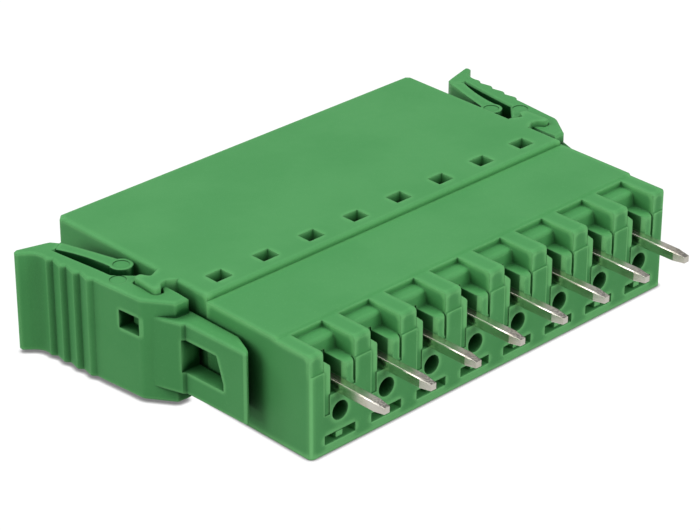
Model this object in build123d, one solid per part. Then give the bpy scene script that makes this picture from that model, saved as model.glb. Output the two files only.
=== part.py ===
from build123d import *
import os

# Cable side plug of a two piece board connector, eight poles in one row. A clamp housing at the rear
# takes the wires, a pin housing in front carries the pins, and a rocking lever on each end holds the
# plug in its socket. X runs along the row, the pins point to -Y, and Z is up. Lengths are millimetres.

# Row
poles = 8
pitch = 5.08
end_wall = 0.45

# Clamp housing
clamp_depth = 19.18
clamp_height = 9.9
clamp_round = 0.3
clamp_corner_bevel = 0.4
chamber_width = 3.9
chamber_depth = 15.2
chamber_floor = 1.0
chamber_roof_wall = 1.0

# Wire side of the clamp housing
wire_bore_radius = 1.45
wire_funnel_side = 4.2
wire_funnel_bevel = 0.55
wire_funnel_depth = 1.6
wire_z = 3.4
driver_slot_width = 2.9
driver_slot_height = 1.5
driver_slot_drop = 2.35
driver_slot_bevel = 0.35
driver_slot_bevel_depth = 1.2
test_hole_width = 1.7
test_hole_length = 1.45
test_hole_shift = -0.1
test_hole_setback = 1.88

# Pin housing
pin_housing_depth = 12.12
pin_housing_drop = 0.5
pin_housing_overhang = 0.13
nose_depth = 4.0
nose_drop = 0.18
nose_round = 0.3
nose_corner_round = 0.4
upper_setback = 0.15
face_setback = 0.12
pocket_width = 3.33
pocket_floor_drop = 1.95
pocket_depth = 3.83
pocket_round = 0.3
ledge_front = 2.43
ledge_drop = 0.68
lip_width = 0.72
lip_back = 0.6
lip_high_drop = 1.0
lip_low_drop = 1.65
channel_left = 1.2
channel_right = 0.5
channel_mouth_left = 0.95
channel_corner_bevel = 0.3
groove_width = 0.135
groove_depth = 0.45
groove_height = 2.05
core_hole_radius = 0.85
core_hole_z = 3.4
core_hole_depth = 6.0
face_strip_edge = 1.1
face_strip_bottom = 3.45
slot_bottom = 0.81
slot_top = 1.64
slot_depth = 1.2
nub_width = 0.74
nub_height = 0.5
spigot_length = 0.9
spigot_clearance = 0.1

# Contacts: a pin and its flat clamping bar, stamped from one sheet
pin_side = 0.9
pin_z = 5.64
pin_reach = 5.2
pin_taper_length = 1.15
pin_taper = 8.2
pin_edge_bevel = 0.09
pin_clearance = 0.02
bar_width = 3.0
bar_length = 9.4
tail_width = 2.2
tail_seat_depth = 0.45
bar_setback = 0.05

# Cage springs
strip_thickness = 0.3
strip_width = 3.3
foot_length = 6.6
loop_front_setback = 1.9
loop_drop = 0.35
roof_gap = 0.15
leg_setback = 3.1
cage_window_width = 2.6
cage_strand = 0.7
loop_round_share = 0.4
shoulder_round = 0.55
seat_gap = 0.01

# Lever bearing on each end of the clamp housing. Beside the wall, u is measured outward from it and
# v rearward from the lever's pivot.
pivot_out = 1.68
pivot_setback = 5.08
bearing_root = 0.5
bearing_clearance = 0.08
catch_in = 2.2
catch_out = 2.93
catch_lean = 0.15
catch_front = 0.45
catch_rear = 0.85
catch_bottom = 6.15
catch_top = 7.5
catch_clearance_z = 0.15
catch_window_front = 1.05
catch_window_rear = 1.2
catch_window_out = 5.0

# Levers
lever_bottom = 0.2
lever_rise = 0.05
lever_swing = 8.0
swing_steps = 4
lever_edge_bevel = 0.16
arm_bottom = 1.5
arm_top_drop = 1.4
arm_reach = 11.83
arm_gap = 0.48
arm_edge_round = 0.2
arm_edge_from = 1.3
latch_window_front = 9.05
latch_window_rear = 4.5
latch_window_bottom = 3.55
latch_window_height = 2.95
latch_tab_reach = 0.75
latch_tab_bottom = 4.2
grip_reach = 12.4
grip_out = 6.05
teeth = 4
tooth_spacing = 1.63
tooth_depth = 0.34
tooth_steep = 0.42
last_tooth_out = 4.86
last_tooth_setback = 3.0
grip_flare = 0.057
mark_depth = 0.06
mark_radius = 0.72
grip_mark_out = 2.92
grip_mark_rear = 2.5

# Spring tongue inside each lever
bulb_radius = 1.0
bulb_gap = 0.05
bulb_setback = 4.35
tongue_root_inner = 2.28
tongue_root_outer = 3.3
tongue_root_inner_setback = 1.63
tongue_root_outer_setback = 2.35

pin_housing_height = clamp_height - pin_housing_drop
lever_top = pin_housing_height + lever_rise
arm_top = lever_top - arm_top_drop
pocket_floor = pin_housing_height - pocket_floor_drop
tongue_root_inner_v = grip_reach - tongue_root_inner_setback
tongue_root_outer_v = grip_reach - tongue_root_outer_setback
half_length = poles * pitch / 2 + end_wall
seam_y = pin_housing_depth
rear_y = seam_y + clamp_depth
pivot_y = seam_y + pivot_setback
chamber_top = clamp_height - chamber_roof_wall
chamber_back = seam_y + chamber_depth
pole_x = [(i - (poles - 1) / 2) * pitch for i in range(poles)]
bar_bottom = pin_z - pin_side / 2
bar_top = pin_z + pin_side / 2
bar_front = seam_y + spigot_length + bar_setback
tail_end = chamber_back + tail_seat_depth - bar_setback
middle_y = (rear_y - pin_reach) / 2
beyond = 5.0


def block(x, y, z):
    """A box between the lower and upper limits of x, y and z."""
    size = [high - low for low, high in (x, y, z)]
    middle = [(low + high) / 2 for low, high in (x, y, z)]
    return Pos(*middle) * Box(*size)


def prism(outline, z):
    """A flat outline, seen from above, raised between the two heights of z."""
    return Pos(0, 0, z[0]) * extrude(outline, z[1] - z[0])


def row(piece):
    """One copy of a piece at every pole."""
    return [Pos(x, 0, 0) * piece for x in pole_x]


def beside(u, v):
    """A point seen from above, u outside the left end wall and v behind the lever's pivot."""
    return (-half_length - u, pivot_y + v)


def rear_mouth(width, height, z, bevel, depth):
    """A tapered mouth in the rear face, which narrows by the bevel on every side."""
    wedge = Wedge(width, depth, height, bevel, bevel, width - bevel, height - bevel)
    return Pos(0, rear_y - depth / 2, z) * Rot(180, 0, 0) * wedge


def outline(corners):
    """A closed outline beside the left end wall, from corners of u, v and the radius of each."""
    places = [beside(u, v) for u, v, radius in corners]
    return make_face(FilletPolyline(*places, radius=[radius for u, v, radius in corners], close=True))


def mark(u, v):
    """The shallow round mark that an ejector pin leaves in a lever's top."""
    return Pos(*beside(u, v), lever_top - mark_depth) * Cylinder(
        mark_radius, beyond, align=(Align.CENTER, Align.CENTER, Align.MIN))


def bearing_outline():
    """The mushroom shaped bearing on the left end wall, seen from above."""
    neck_rear = [(-bearing_root, 1.05, 0), (0.0, 1.05, 0), (1.12, 0.5, 0.25)]
    head = [(1.5, 1.25, 0), (1.68, 1.35, 0), (2.25, 1.32, 0.25), (2.46, -1.5, 0.35), (1.9, -1.62, 0)]
    neck_front = [(1.35, -0.98, 0.25), (0.75, -0.88, 0), (0.0, -1.34, 0), (-bearing_root, -1.34, 0)]
    return outline(neck_rear + head + neck_front)


def clamp_housing():
    """Rear block with a chamber for each pole and a lever bearing on each end."""
    body = block((-half_length, half_length), (seam_y, rear_y), (0, clamp_height))
    body = chamfer(body.edges().filter_by(Axis.Z).group_by(Axis.Y)[-1], clamp_corner_bevel)
    body = fillet(body.faces().sort_by(Axis.Z)[-1].edges(), clamp_round)

    bearing = prism(bearing_outline(), (0, clamp_height))
    catch_corners = [(catch_in, -catch_front, 0), (catch_out, -catch_front, 0),
                     (catch_out - catch_lean, catch_rear, 0), (catch_in, catch_rear, 0)]
    catch = prism(outline(catch_corners), (catch_bottom, catch_top))
    bearing = bearing + catch
    body = body + bearing + mirror(bearing, about=Plane.YZ)

    chamber = block((-chamber_width / 2, chamber_width / 2), (seam_y - beyond, chamber_back),
                    (chamber_floor, chamber_top))
    tail_seat = block((-tail_width / 2 - pin_clearance, tail_width / 2 + pin_clearance),
                      (chamber_back - 1, chamber_back + tail_seat_depth),
                      (bar_bottom - pin_clearance, bar_top + pin_clearance))
    bore = Pos(0, rear_y, wire_z) * Rot(90, 0, 0) * Cylinder(
        wire_bore_radius, rear_y - chamber_back + 1, align=(Align.CENTER, Align.CENTER, Align.MIN))
    funnel = rear_mouth(wire_funnel_side, wire_funnel_side, wire_z, wire_funnel_bevel, wire_funnel_depth)
    driver_slot_z = clamp_height - driver_slot_drop
    driver_slot = block((-driver_slot_width / 2, driver_slot_width / 2), (chamber_back - 1, rear_y + beyond),
                        (driver_slot_z - driver_slot_height / 2, driver_slot_z + driver_slot_height / 2))
    driver_mouth = rear_mouth(driver_slot_width + 2 * driver_slot_bevel, driver_slot_height + 2 * driver_slot_bevel,
                              driver_slot_z, driver_slot_bevel, driver_slot_bevel_depth)
    test_y = seam_y + test_hole_setback
    test_hole = block((test_hole_shift - test_hole_width / 2, test_hole_shift + test_hole_width / 2),
                      (test_y - test_hole_length / 2, test_y + test_hole_length / 2),
                      (chamber_top - 1, clamp_height + beyond))
    pole = chamber + tail_seat + bore + funnel + driver_slot + driver_mouth + test_hole
    return body - row(pole)


def pin_housing():
    """Front block that carries the pins, with an open topped pocket over each of them."""
    front_top = pin_housing_height - nose_drop
    step = Line((nose_depth, front_top), (nose_depth + nose_drop, pin_housing_height))
    arc = RadiusArc((upper_setback, front_top - nose_round), (upper_setback + nose_round, front_top), nose_round)
    outline = make_face([
        Polyline((upper_setback, front_top - nose_round), (upper_setback, pocket_floor), (0, pocket_floor),
                 (0, 0), (seam_y, 0), (seam_y, pin_housing_height), step @ 1),
        step,
        Line(step @ 0, arc @ 1),
        arc,
    ])
    half = half_length + pin_housing_overhang
    body = extrude(Plane.YZ * outline, half, both=True)
    body = fillet(body.edges().filter_by(Axis.Z).group_by(Axis.Y)[0], nose_corner_round)

    pocket_half = pocket_width / 2
    plate_top = bar_bottom - pin_clearance
    arc_in = RadiusArc((face_setback, pocket_floor - pocket_round), (face_setback + pocket_round, pocket_floor),
                       pocket_round)
    ledge_top = pin_housing_height - ledge_drop
    ledge_arc = RadiusArc((ledge_front, ledge_top - pocket_round), (ledge_front + pocket_round, ledge_top),
                          pocket_round)
    pocket_outline = make_face([
        Line((-beyond, pocket_floor - pocket_round), arc_in @ 0),
        arc_in,
        Polyline(arc_in @ 1, (ledge_front - pocket_round / 2, pocket_floor), ledge_arc @ 0),
        ledge_arc,
        Polyline(ledge_arc @ 1, (pocket_depth, ledge_top), (pocket_depth, pin_housing_height + beyond),
                 (-beyond, pin_housing_height + beyond), (-beyond, pocket_floor - pocket_round)),
    ])
    pocket = extrude(Plane.YZ * pocket_outline, pocket_half, both=True)
    face = block((-pocket_half, pocket_half), (-beyond, face_setback), (plate_top, pocket_floor))
    strip = block((-pocket_half, -face_strip_edge), (-beyond, face_setback), (face_strip_bottom, plate_top))
    mouth_right = channel_right + channel_corner_bevel
    channel_outline = make_face(Polyline(
        (-channel_mouth_left, -beyond), (mouth_right, -beyond), (mouth_right, face_setback),
        (channel_right, face_setback + channel_corner_bevel), (channel_right, ledge_front),
        (-channel_left, ledge_front), (-channel_left, lip_back), (-channel_mouth_left, lip_back), close=True))
    channel = prism(channel_outline, (plate_top, pocket_floor + pocket_round))
    groove = block((pocket_half - groove_width, pocket_half), (-beyond, groove_depth),
                   (pocket_floor - groove_height, pocket_floor))
    hole_half = pin_side / 2 + pin_clearance
    pin_hole = block((-hole_half, hole_half), (0, seam_y + beyond), (pin_z - hole_half, pin_z + hole_half))
    core_hole = Pos(0, -beyond, core_hole_z) * Rot(-90, 0, 0) * Cylinder(
        core_hole_radius, core_hole_depth + beyond, align=(Align.CENTER, Align.CENTER, Align.MIN))
    slot_z = (slot_bottom + slot_top) / 2
    slot = block((-pocket_half, pocket_half), (-beyond, slot_depth), (slot_bottom, slot_top))
    nub = block((-nub_width / 2, nub_width / 2), (face_setback, slot_depth),
                (slot_z - nub_height / 2, slot_z + nub_height / 2))
    body = body - row(pocket + face + strip + channel + groove + core_hole + (slot - nub))

    lip_low = pin_housing_height - lip_low_drop
    lip_high = pin_housing_height - lip_high_drop
    lip_outline = make_face(Polyline(
        (-pocket_half, plate_top), (-pocket_half + lip_width, plate_top), (-pocket_half + lip_width, lip_low),
        (-pocket_half, lip_high), close=True))
    lip_outline = fillet(lip_outline.vertices().sort_by(Axis.X)[2:].sort_by(Axis.Y)[-1], lip_width / 2)
    lip = Pos(0, lip_back, 0) * extrude(Plane.XZ * lip_outline, lip_back - face_setback)
    spigot_half = chamber_width / 2 - spigot_clearance
    spigot = block((-spigot_half, spigot_half), (seam_y - 1, seam_y + spigot_length),
                   (chamber_floor + spigot_clearance, chamber_top - spigot_clearance))
    body = body + row(lip) + row(spigot)
    return body - row(pin_hole)


def contact():
    """A tinned pin and the bar that the wire is clamped to, at the middle of the row."""
    taper_start = -pin_reach + pin_taper_length
    blank = block((-bar_width / 2, bar_width / 2), (bar_front, bar_front + bar_length), (bar_bottom, bar_top))
    tail = block((-tail_width / 2, tail_width / 2), (bar_front, tail_end), (bar_bottom, bar_top))
    square = Rectangle(pin_side, pin_side)
    section = Plane((0, taper_start, pin_z), x_dir=(1, 0, 0), z_dir=(0, -1, 0)) * chamfer(
        square.vertices(), pin_edge_bevel)
    shaft = extrude(section, taper_start - bar_front)
    tip = extrude(section, pin_taper_length, taper=pin_taper)
    return blank + tail + shaft + tip


def cage_spring():
    """A flat strip bent to a loop, with a window in its leg that draws the wire up to the bar."""
    foot_z = bar_top + seat_gap + strip_thickness / 2
    loop_y = bar_front + loop_front_setback
    leg_y = chamber_back - leg_setback
    shoulder_z = chamber_top - roof_gap - strip_thickness / 2
    loop_z = shoulder_z - loop_drop
    loop_round = loop_round_share * (loop_z - foot_z)
    window_bottom = bar_bottom - seat_gap
    path = FilletPolyline(
        (0, loop_y + foot_length, foot_z), (0, loop_y, foot_z), (0, loop_y, loop_z),
        (0, leg_y, shoulder_z), (0, leg_y, window_bottom - cage_strand),
        radius=[loop_round, loop_round, shoulder_round])
    section = Plane(path @ 0, x_dir=(1, 0, 0), z_dir=path % 0) * Rectangle(strip_width, strip_thickness)
    strip = sweep(section, path)
    window_top = shoulder_z - shoulder_round
    window = block((-cage_window_width / 2, cage_window_width / 2), (leg_y - 1, leg_y + 1),
                   (window_bottom, window_top))
    return strip - window


def swept_bearing():
    """The space that the bearing sweeps in the lever's own frame, with its running clearance."""
    pivot = Pos(*beside(pivot_out, 0))
    resting = offset(bearing_outline(), bearing_clearance, kind=Kind.INTERSECTION)
    space = resting
    for step in range(1, swing_steps + 1):
        turn = lever_swing * step / swing_steps
        space = space + pivot * Rot(0, 0, turn) * pivot.inverse() * resting
    return space


def lever():
    """The left rocking lever: toothed grip behind the pivot, latch arm in front of it."""
    lip = [(3.8, -1.2, 0.6), (2.08, -3.65, 0.2), (0.8, -3.72, 0), (0.74, -2.6, 0), (0.74, -1.0, 0), (1.0, -0.75, 0)]
    bar = [(1.12, 1.88, 0), (2.76, 3.56, 0.3), (2.87, 4.84, 0), (3.28, 8.2, 0),
           (tongue_root_outer + 0.2, tongue_root_outer_v, 0)]
    root = [(tongue_root_outer, tongue_root_outer_v, 0), (tongue_root_inner, tongue_root_inner_v, 0)]
    flange = [(tongue_root_inner + 0.49, grip_reach - 0.93, 0), (tongue_root_inner + 0.9, grip_reach - 0.78, 0),
              (grip_out, grip_reach, 0.35), (grip_out + 0.03, grip_reach - 0.6, 0),
              (grip_out - 1.43, grip_reach - 1.85, 1.5)]
    grip = []
    for tooth in range(teeth):
        v = grip_reach - last_tooth_setback - tooth * tooth_spacing
        u = last_tooth_out - tooth * tooth_spacing * grip_flare
        grip += [(u, v, 0), (u - tooth_depth, v - tooth_steep, 0)]
    side = [(last_tooth_out - 0.66, grip_reach - 9.2, 0), (3.93, 0.4, 0)]
    body = prism(outline(lip + bar + root + flange + grip + side), (lever_bottom, lever_top))
    ends = body.faces().sort_by(Axis.Z)[-1].edges() + body.faces().sort_by(Axis.Z)[0].edges()
    root_y = pivot_y + (tongue_root_outer_v + tongue_root_inner_v) / 2
    root_x = -half_length - (tongue_root_outer + tongue_root_inner) / 2
    sharp = ends.filter_by(lambda edge: abs(edge.center().Y - root_y) + abs(edge.center().X - root_x) < 0.1)
    body = chamfer(ends - sharp, lever_edge_bevel)

    pad = [(3.53, -1.12, 0), (2.36, -4.55, 0), (2.1, -4.75, 0)]
    tip = [(1.87, -arm_reach, 0), (1.39, -arm_reach + 0.41, 0), (arm_gap, -arm_reach + 2.58, 0)]
    inside = [(arm_gap, -3.6, 0), (0.77, -2.9, 0), (0.9, -1.2, 0)]
    arm = prism(outline(pad + tip + inside), (arm_bottom, arm_top))
    outer = arm.edges().filter_by(Axis.Z, reverse=True).filter_by(
        lambda edge: edge.center().X < -half_length - arm_edge_from)
    body = body + fillet(outer, arm_edge_round)

    front = pivot_y - latch_window_front
    latch_window_top = latch_window_bottom + latch_window_height
    latch_corners = [(front, latch_window_bottom), (front, latch_tab_bottom),
                     (front + latch_tab_reach, latch_window_top),
                     (pivot_y - latch_window_rear, latch_window_top),
                     (pivot_y - latch_window_rear, latch_window_bottom)]
    latch_outline = Plane.YZ * make_face(Polyline(*latch_corners, close=True))
    latch_window = extrude(latch_outline, -2 * half_length)
    catch_window = block((-half_length - catch_window_out, -half_length - catch_in),
                         (pivot_y - catch_window_front, pivot_y + catch_window_rear),
                         (catch_bottom - catch_clearance_z, catch_top + catch_clearance_z))
    pocket = prism(swept_bearing(), (-beyond, lever_top + beyond))
    return body - pocket - latch_window - catch_window - mark(grip_mark_out, grip_mark_rear)


def lever_spring():
    """The left lever's spring tongue, whose round end rests against the housing's end wall."""
    bulb_u = bulb_radius + bulb_gap
    inner = ThreePointArc(beside(tongue_root_inner, tongue_root_inner_v), beside(1.57, 8.4),
                          beside(0.6, bulb_setback + 0.6))
    outer = ThreePointArc(beside(bulb_u + bulb_radius * 0.9, bulb_setback + 0.3), beside(2.43, 7.6),
                          beside(tongue_root_outer, tongue_root_outer_v))
    strip = make_face([inner, Line(inner @ 1, outer @ 0), outer, Line(outer @ 1, inner @ 0)])
    tongue = strip + Pos(*beside(bulb_u, bulb_setback)) * Circle(bulb_radius)
    return prism(tongue, (lever_bottom, lever_top)) - mark(bulb_u, bulb_setback)


def save(name, piece):
    """Write one piece with the origin under the middle of the whole plug."""
    export_step(Pos(0, -middle_y, 0) * piece, f"parts/{name}.step")


os.makedirs("parts", exist_ok=True)
save("clamp_housing", clamp_housing())
save("pin_housing", pin_housing())
for number, x in enumerate(pole_x, 1):
    save(f"contact_{number}", Pos(x, 0, 0) * contact())
    save(f"cage_spring_{number}", Pos(x, 0, 0) * cage_spring())
for piece_name, left in (("lever", lever()), ("lever_spring", lever_spring())):
    save(f"left_{piece_name}", left)
    save(f"right_{piece_name}", mirror(left, about=Plane.YZ))
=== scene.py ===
"""Looks of the eight pole plug: moulded green polyamide, tinned pins and a plain studio."""

import math

import bmesh
import bpy
from mathutils import Euler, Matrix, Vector


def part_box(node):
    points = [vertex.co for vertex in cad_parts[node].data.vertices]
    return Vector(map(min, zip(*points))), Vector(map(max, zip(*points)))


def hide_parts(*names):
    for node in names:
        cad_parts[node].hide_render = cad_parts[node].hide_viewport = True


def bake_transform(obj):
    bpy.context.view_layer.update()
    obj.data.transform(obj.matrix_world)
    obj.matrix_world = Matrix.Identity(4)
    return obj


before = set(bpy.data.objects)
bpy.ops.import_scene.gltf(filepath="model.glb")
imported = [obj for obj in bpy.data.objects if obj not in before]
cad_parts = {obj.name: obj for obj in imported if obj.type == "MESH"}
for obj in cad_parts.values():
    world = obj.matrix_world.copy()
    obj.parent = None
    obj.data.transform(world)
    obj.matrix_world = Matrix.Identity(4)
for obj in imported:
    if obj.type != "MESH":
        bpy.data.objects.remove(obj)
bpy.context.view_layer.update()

MM = 0.001

# Camera, as solved from the photograph. Angles are in degrees, lens and sensor in millimetres.
CAMERA_PLACE = Vector((-141.72, -142.96, 112.61)) * MM
CAMERA_AZIMUTH = -43.89
CAMERA_ELEVATION = 28.22
CAMERA_ROLL = 0.14
LENS = 138.06
SENSOR = 36.0
NEAREST_SEEN = 10.0 * MM

# Spring tongues of the levers
TONGUE_SLICES = 24
WELD_DISTANCE = 1e-7

# Light. The mirror values are what shiny pieces see in place of the dimmer sky and floor.
WHITE = (1.0, 1.0, 1.0)
SKY = 0.22
SKY_MIRROR = 0.52
FLOOR_SIZE = 4.0
FLOOR_DROP = 0.02 * MM
FLOOR_BOUNCE = 0.30
FLOOR_MIRROR = 0.85
# Painted contact shadow on the floor: its reach, its darkest value and its rise to white
CONTACT_SHADE_REACH = 0.5 * MM
CONTACT_SHADE_DARKEST = 0.2
CONTACT_SHADE_RISE = 0.85

# Soft boxes, all aimed at the plug: name, place, width of the square, power
SOFT_BOXES = (
    ("top_light", (-0.05, 0.10, 0.60), 0.80, 2.0),
    ("left_light", (-0.57, 0.06, 0.27), 0.35, 0.95),
    ("right_light", (0.08, -0.57, 0.27), 0.35, 1.50),
    ("rim_light", (-0.33, 0.44, 0.43), 0.20, 0.60),
)

# Colours, linear
HOUSING_GREEN = (0.096, 0.388, 0.121)
HOUSING_GREEN_DEEP = (0.087, 0.364, 0.112)
# Lighter green: the grain's speckles, and the painted highlights on outer edges and upright corners
SPECKLE_AND_HIGHLIGHT_GREEN = (0.250, 0.730, 0.265)
# Painted shade in hollows, grooves and gaps
PAINTED_SHADE_GREEN = (0.002, 0.055, 0.009)
TIN = (0.74, 0.71, 0.63)
TIN_WARM = (0.62, 0.57, 0.47)
TIN_CUT = (0.31, 0.295, 0.265)
STRIP_STEEL = (0.32, 0.32, 0.31)

# Moulded polyamide: its soft edges, how far the painted shade of its hollows reaches, within what reach
# narrow hair lines are kept lighter than it, and its grain
MOULDED_EDGE = 0.22 * MM
POCKET_REACH = 3.4 * MM
GROOVE_REACH = 1.2 * MM
HAIR_LINE_REACH = 0.35 * MM
GRAIN_DEPTH = 0.006 * MM
POLYAMIDE_IOR = 1.53
POLYAMIDE_SHINE = 0.18

# Stamped metal: the pins' soft edges, their cut tips, and the lines of drawing and rolling
STAMPED_EDGE = 0.06 * MM
PIN_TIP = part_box("contact_1")[0][1]
CUT_LENGTH = 3.0 * MM
LINE_DEPTH = 0.004 * MM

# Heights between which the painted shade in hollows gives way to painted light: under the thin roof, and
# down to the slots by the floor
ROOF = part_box("clamp_housing")[1][2]
TEST_HOLE_DIM = ROOF - 2.5 * MM
TEST_HOLE_BRIGHT = ROOF + 0.2 * MM
SLOT_DIM = 2.3 * MM
SLOT_BRIGHT = 1.8 * MM


class Value:
    """A number socket that adds Math nodes when it is used in an expression."""

    def __init__(self, paint, socket):
        self.paint = paint
        self.socket = socket

    def math(self, operation, *others):
        """One Math node, with this value first."""
        node = self.paint.node("ShaderNodeMath", {"operation": operation})
        for slot, value in enumerate((self, *others)):
            self.paint.feed(node.inputs[slot], value)
        return Value(self.paint, node.outputs[0])

    def __add__(self, other):
        return self.math("ADD", other)

    __radd__ = __add__

    def __mul__(self, other):
        return self.math("MULTIPLY", other)

    __rmul__ = __mul__

    def __sub__(self, other):
        return self.math("SUBTRACT", other)

    def __rsub__(self, other):
        return self * -1.0 + other

    def __abs__(self):
        return self.math("ABSOLUTE")

    def at_least(self, other):
        return self.math("MAXIMUM", other)

    def between(self, low, high):
        """0 at low, 1 at high, and smooth from one to the other."""
        node = self.paint.node("ShaderNodeMapRange", {"interpolation_type": "SMOOTHSTEP"},
                               {"Value": self, "From Min": low, "From Max": high})
        return Value(self.paint, node.outputs[0])


class Paint:
    """The node tree of one material or of the sky."""

    def __init__(self, owner, output="ShaderNodeOutputMaterial"):
        self.owner = owner
        owner.use_nodes = True
        self.tree = owner.node_tree
        self.tree.nodes.clear()
        self.output = self.node(output)
        self.place = self.node("ShaderNodeTexCoord").outputs["Object"]

    def feed(self, socket, value):
        """Link a value or a socket to this socket, or set a number or a colour on it."""
        if isinstance(value, Value):
            self.tree.links.new(value.socket, socket)
        elif isinstance(value, bpy.types.NodeSocket):
            self.tree.links.new(value, socket)
        elif isinstance(value, tuple) and socket.type == "RGBA" and len(value) == 3:
            socket.default_value = (*value, 1.0)
        else:
            socket.default_value = value

    def node(self, kind, settings=None, inputs=None):
        """A node with its settings, then the values or links of its sockets."""
        node = self.tree.nodes.new(kind)
        for name, value in (settings or {}).items():
            setattr(node, name, value)
        for name, value in (inputs or {}).items():
            self.feed(node.inputs[name], value)
        return node

    def noise(self, scale, detail=2.0, stretch=None):
        """Cloudy noise, scale per millimetre, stretched along one axis if asked."""
        place = self.place
        if stretch:
            place = self.node("ShaderNodeMapping", {}, {"Vector": place, "Scale": stretch}).outputs[0]
        node = self.node("ShaderNodeTexNoise", {}, {"Vector": place, "Scale": scale / MM, "Detail": detail})
        return Value(self, node.outputs[0])

    def mix(self, factor, first, second):
        """A colour between two others."""
        node = self.node("ShaderNodeMix", {"data_type": "RGBA"})
        self.feed(node.inputs[0], factor)
        self.feed(node.inputs[6], first)
        self.feed(node.inputs[7], second)
        return node.outputs[2]

    def bump(self, height, distance, normal=None):
        """The normal of a surface with this relief, this deep."""
        inputs = {"Height": height, "Distance": distance}
        if normal:
            inputs["Normal"] = normal
        return self.node("ShaderNodeBump", {}, inputs).outputs[0]

    def rounded(self, radius):
        """The surface's normal, turned as if its edges had this radius."""
        return self.node("ShaderNodeBevel", {"samples": 6}, {"Radius": radius}).outputs[0]

    def openness(self, reach):
        """1 on open faces, and less in corners and hollows that have walls within this reach."""
        node = self.node("ShaderNodeAmbientOcclusion", {"samples": 8}, {"Distance": reach})
        return Value(self, node.outputs["AO"])

    def sharpness(self, reach):
        """0 on flats, and more within this reach of an outer edge, also where the edge is rounded."""
        settings = {"samples": 8, "inside": True, "only_local": True}
        node = self.node("ShaderNodeAmbientOcclusion", settings, {"Distance": reach})
        return 1.0 - Value(self, node.outputs["AO"])

    def along(self, axis, vector=None):
        """How far a vector, or the place on the plug, lies along X, Y or Z."""
        split = self.node("ShaderNodeSeparateXYZ", {}, {"Vector": vector or self.place})
        return Value(self, split.outputs[axis])

    def upward(self):
        """1 on faces that look up, 0 on upright faces."""
        return self.along("Z", self.node("ShaderNodeNewGeometry").outputs["Normal"]).at_least(0.0)

    def upright_corner(self, normal):
        """1 where the surface turns a corner between two upright sides, 0 on the sides themselves."""
        return 2.0 * abs(self.along("X", normal)) * abs(self.along("Y", normal))

    def ray(self, kind):
        """1 where this kind of ray meets the surface, such as Is Camera Ray."""
        return Value(self, self.node("ShaderNodeLightPath").outputs[kind])

    def surface(self, shader):
        """Finish the material or the sky with this shader."""
        self.tree.links.new(shader.outputs[0], self.output.inputs["Surface"])
        return self.owner

    def principled(self, **inputs):
        """Finish the material with a Principled shader, its sockets named with underscores."""
        named = {name.replace("_", " "): value for name, value in inputs.items()}
        return self.surface(self.node("ShaderNodeBsdfPrincipled", {}, named))


def polyamide(name, edge_reach, full_edge, edge_light, corner_light, crease,
              dim_height=0.0, bright_height=1.0, share=0.0):
    """Moulded glass filled polyamide: matt with a fine eroded grain, with painted highlights on edges and
    painted shade in hollows.

    Outer edges get a painted highlight within edge_reach, as strong as edge_light says where they are as
    sharp as full_edge. Corners between two upright sides get a painted highlight of corner_light, grooves
    painted shade by crease.
    In small openings painted light, standing in for light through their thin walls, lifts the painted
    shade: from dim_height to bright_height the hollows grow lighter, up to this share of the open faces.
    """
    paint = Paint(bpy.data.materials.new(name))
    cloud = paint.noise(0.12, 3.0).between(0.35, 0.65)
    grain = paint.noise(9.0, 3.0)
    mottle = paint.noise(1.3, 2.0)
    upward = paint.upward()
    rounded = paint.rounded(MOULDED_EDGE)

    # Painted shade in hollows and grooves, less on upward faces; lifted by painted light in openings and
    # hair lines
    open_to_light = paint.openness(POCKET_REACH)
    hollow = 1.0 - paint.openness(GROOVE_REACH).between(0.55, 1.0)
    hair_line = 1.0 - paint.openness(HAIR_LINE_REACH).between(0.15, 0.50)
    lit = open_to_light.between(0.08, 0.66) * (1.0 - crease * hollow * (1.0 - 0.8 * upward))
    lit = lit.at_least(paint.along("Z").between(dim_height, bright_height) * share)
    lit = lit.at_least(hair_line * 0.6)

    # Painted highlight on outer edges and upright corners, weaker on upward faces and none deep in hollows
    painted_highlight_mask = paint.sharpness(edge_reach).between(0.05, full_edge) * edge_light
    painted_highlight_mask = painted_highlight_mask.at_least(paint.upright_corner(rounded).between(0.30, 1.0) * corner_light)
    painted_highlight_mask = painted_highlight_mask * open_to_light.between(0.30, 0.65) * (1.0 - 0.7 * upward)

    body = paint.mix(cloud, HOUSING_GREEN, HOUSING_GREEN_DEEP)
    speckled = paint.mix(grain.between(0.60, 0.78) * 0.25, body, SPECKLE_AND_HIGHLIGHT_GREEN)
    highlighted_green = paint.mix(painted_highlight_mask * (0.9 + 0.2 * mottle), speckled, SPECKLE_AND_HIGHLIGHT_GREEN)
    # Base colour with painted shade where lit is low and painted highlights on edges
    return paint.principled(
        Base_Color=paint.mix(lit, PAINTED_SHADE_GREEN, highlighted_green),
        Roughness=0.44 + 0.14 * mottle + 0.08 * cloud,
        Normal=paint.bump(grain + 0.35 * mottle, GRAIN_DEPTH, rounded),
        IOR=POLYAMIDE_IOR,
        Specular_IOR_Level=POLYAMIDE_SHINE)


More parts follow.
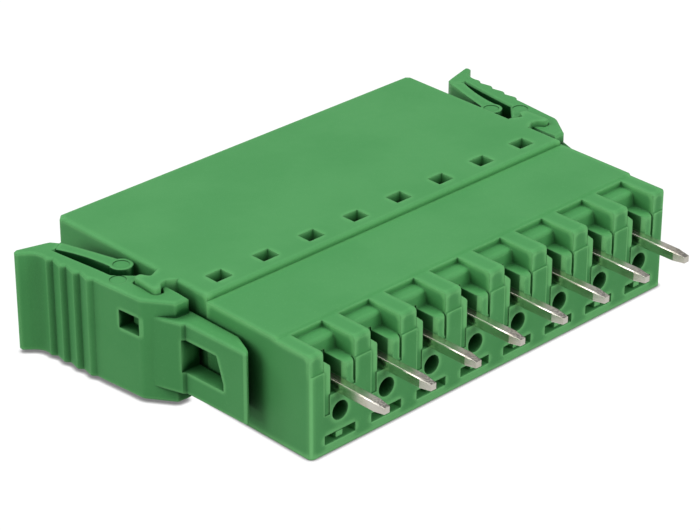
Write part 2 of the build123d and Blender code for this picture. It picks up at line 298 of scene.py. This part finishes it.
def tin_plate():
    """Bright tin over a stamped pin, with faint drawing lines along it and a grainy cut tip."""
    paint = Paint(bpy.data.materials.new("tin_plate"))
    lines = paint.noise(6.0, 2.0, stretch=(1.0, 0.05, 1.0))
    cloud = paint.noise(0.5, 3.0)
    grain = paint.noise(5.0, 2.0).between(0.42, 0.55)
    tip = 1.0 - paint.along("Y").between(PIN_TIP, PIN_TIP + CUT_LENGTH)
    cut = tip * (0.28 + 0.70 * grain * paint.upward())
    plate = paint.mix(cloud.between(0.4, 0.7), TIN, TIN_WARM)
    return paint.principled(
        Base_Color=paint.mix(cut, plate, TIN_CUT),
        Metallic=1.0,
        Roughness=0.12 + 0.14 * lines + 0.10 * cloud,
        Normal=paint.bump(lines, LINE_DEPTH, paint.rounded(STAMPED_EDGE)))


def spring_strip():
    """Cold rolled strip, with rolling lines along the bend."""
    paint = Paint(bpy.data.materials.new("spring_strip"))
    lines = paint.noise(8.0, 2.0, stretch=(1.0, 0.06, 0.06))
    return paint.principled(
        Base_Color=STRIP_STEEL,
        Metallic=1.0,
        Roughness=0.36 + 0.2 * lines,
        Normal=paint.bump(lines, LINE_DEPTH))


def dress(mesh, material):
    """Give a mesh one material on all of its faces."""
    mesh.materials.clear()
    mesh.materials.append(material)


def tongue(side, material):
    """The lever's spring tongue: its solid, cut in slices along its length, in place of the CAD piece."""
    node = f"{side}_lever_spring"
    low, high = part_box(node)
    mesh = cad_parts[node].data.copy()
    cut = bmesh.new()
    cut.from_mesh(mesh)
    for slice_number in range(1, TONGUE_SLICES):
        y = low[1] + (high[1] - low[1]) * slice_number / TONGUE_SLICES
        bmesh.ops.bisect_plane(cut, geom=cut.verts[:] + cut.edges[:] + cut.faces[:], dist=WELD_DISTANCE,
                               plane_co=(0, y, 0), plane_no=(0, 1, 0))
    cut.to_mesh(mesh)
    cut.free()
    dress(mesh, material)
    piece = bpy.data.objects.new(f"{side}_tongue", mesh)
    bpy.context.scene.collection.objects.link(piece)
    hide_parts(node)
    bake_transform(piece)


def plug():
    """Dress the CAD pieces and put the spring tongues in place."""
    # Each green gets painted highlights by edge_light and corner_light, painted shade by crease and in
    # hollows, and painted light in openings up to share
    clamp_green = polyamide(
        "clamp_housing_polyamide", edge_reach=0.7 * MM, full_edge=0.42, edge_light=0.75, corner_light=0.9,
        crease=0.20, dim_height=TEST_HOLE_DIM, bright_height=TEST_HOLE_BRIGHT, share=0.78)
    nose_green = polyamide(
        "pin_housing_polyamide", edge_reach=0.7 * MM, full_edge=0.42, edge_light=0.75, corner_light=0.9,
        crease=0.0, dim_height=SLOT_DIM, bright_height=SLOT_BRIGHT, share=0.95)
    lever_green = polyamide(
        "lever_polyamide", edge_reach=0.42 * MM, full_edge=0.22, edge_light=0.48, corner_light=0.0,
        crease=2.2)
    finishes = {"clamp_housing": clamp_green, "pin_housing": nose_green, "lever": lever_green,
                "contact": tin_plate(), "cage_spring": spring_strip()}
    for node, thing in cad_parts.items():
        kind = next(kind for kind in finishes if kind in node)
        dress(thing.data, finishes[kind])
    for side in ("left", "right"):
        tongue(side, lever_green)


def sky():
    """An even sky, white where the camera sees it."""
    world = bpy.data.worlds.new("sky")
    bpy.context.scene.world = world
    paint = Paint(world, "ShaderNodeOutputWorld")
    mirror = paint.ray("Is Glossy Ray") * (SKY_MIRROR - SKY) + SKY
    strength = mirror.at_least(paint.ray("Is Camera Ray"))
    paint.surface(paint.node("ShaderNodeBackground", {}, {"Color": WHITE, "Strength": strength}))


def floor():
    """A white floor glowing to the camera, with a tight painted contact shadow under the plug."""
    bpy.ops.mesh.primitive_plane_add(size=FLOOR_SIZE, location=(0, 0, -FLOOR_DROP))
    plane = bpy.context.object
    plane.name = "floor"
    paint = Paint(bpy.data.materials.new("floor_white"))
    in_view = paint.ray("Is Camera Ray")
    # Painted contact shadow: the floor's glow to the camera darkens near the plug
    open_to_light = paint.openness(CONTACT_SHADE_REACH).between(0.42, 0.95)
    shade = open_to_light * CONTACT_SHADE_RISE + CONTACT_SHADE_DARKEST
    glow = paint.node("ShaderNodeEmission", {}, {
        "Color": WHITE, "Strength": in_view * shade + (1.0 - in_view) * FLOOR_MIRROR})
    lit = paint.node("ShaderNodeBsdfDiffuse", {}, {"Color": (FLOOR_BOUNCE, FLOOR_BOUNCE, FLOOR_BOUNCE)})
    bright = in_view.at_least(paint.ray("Is Glossy Ray"))
    paint.surface(paint.node("ShaderNodeMixShader", {}, {0: bright, 1: lit.outputs[0], 2: glow.outputs[0]}))
    plane.data.materials.append(paint.owner)
    plane.visible_shadow = False


def soft_box(name, place, width, power):
    """A square area light that looks at the plug."""
    lamp = bpy.data.lights.new(name, "AREA")
    lamp.shape = "SQUARE"
    lamp.size = width
    lamp.energy = power
    thing = bpy.data.objects.new(name, lamp)
    bpy.context.scene.collection.objects.link(thing)
    thing.location = place
    thing.rotation_euler = (-Vector(place)).to_track_quat("-Z", "Y").to_euler()


def camera():
    """The photograph's camera: where it stands, which way it looks and its small roll."""
    lens = bpy.data.cameras.new("camera")
    lens.lens = LENS
    lens.sensor_width = SENSOR
    lens.clip_start = NEAREST_SEEN
    thing = bpy.data.objects.new("camera", lens)
    bpy.context.scene.collection.objects.link(thing)
    thing.location = CAMERA_PLACE
    turn = Euler((math.radians(90 - CAMERA_ELEVATION), 0, math.radians(CAMERA_AZIMUTH)))
    roll = Euler((0, 0, math.radians(CAMERA_ROLL)))
    thing.rotation_euler = (turn.to_matrix() @ roll.to_matrix()).to_euler()
    bpy.context.scene.camera = thing


plug()
sky()
floor()
for box in SOFT_BOXES:
    soft_box(*box)
camera()
bpy.context.scene.view_settings.view_transform = "Standard"
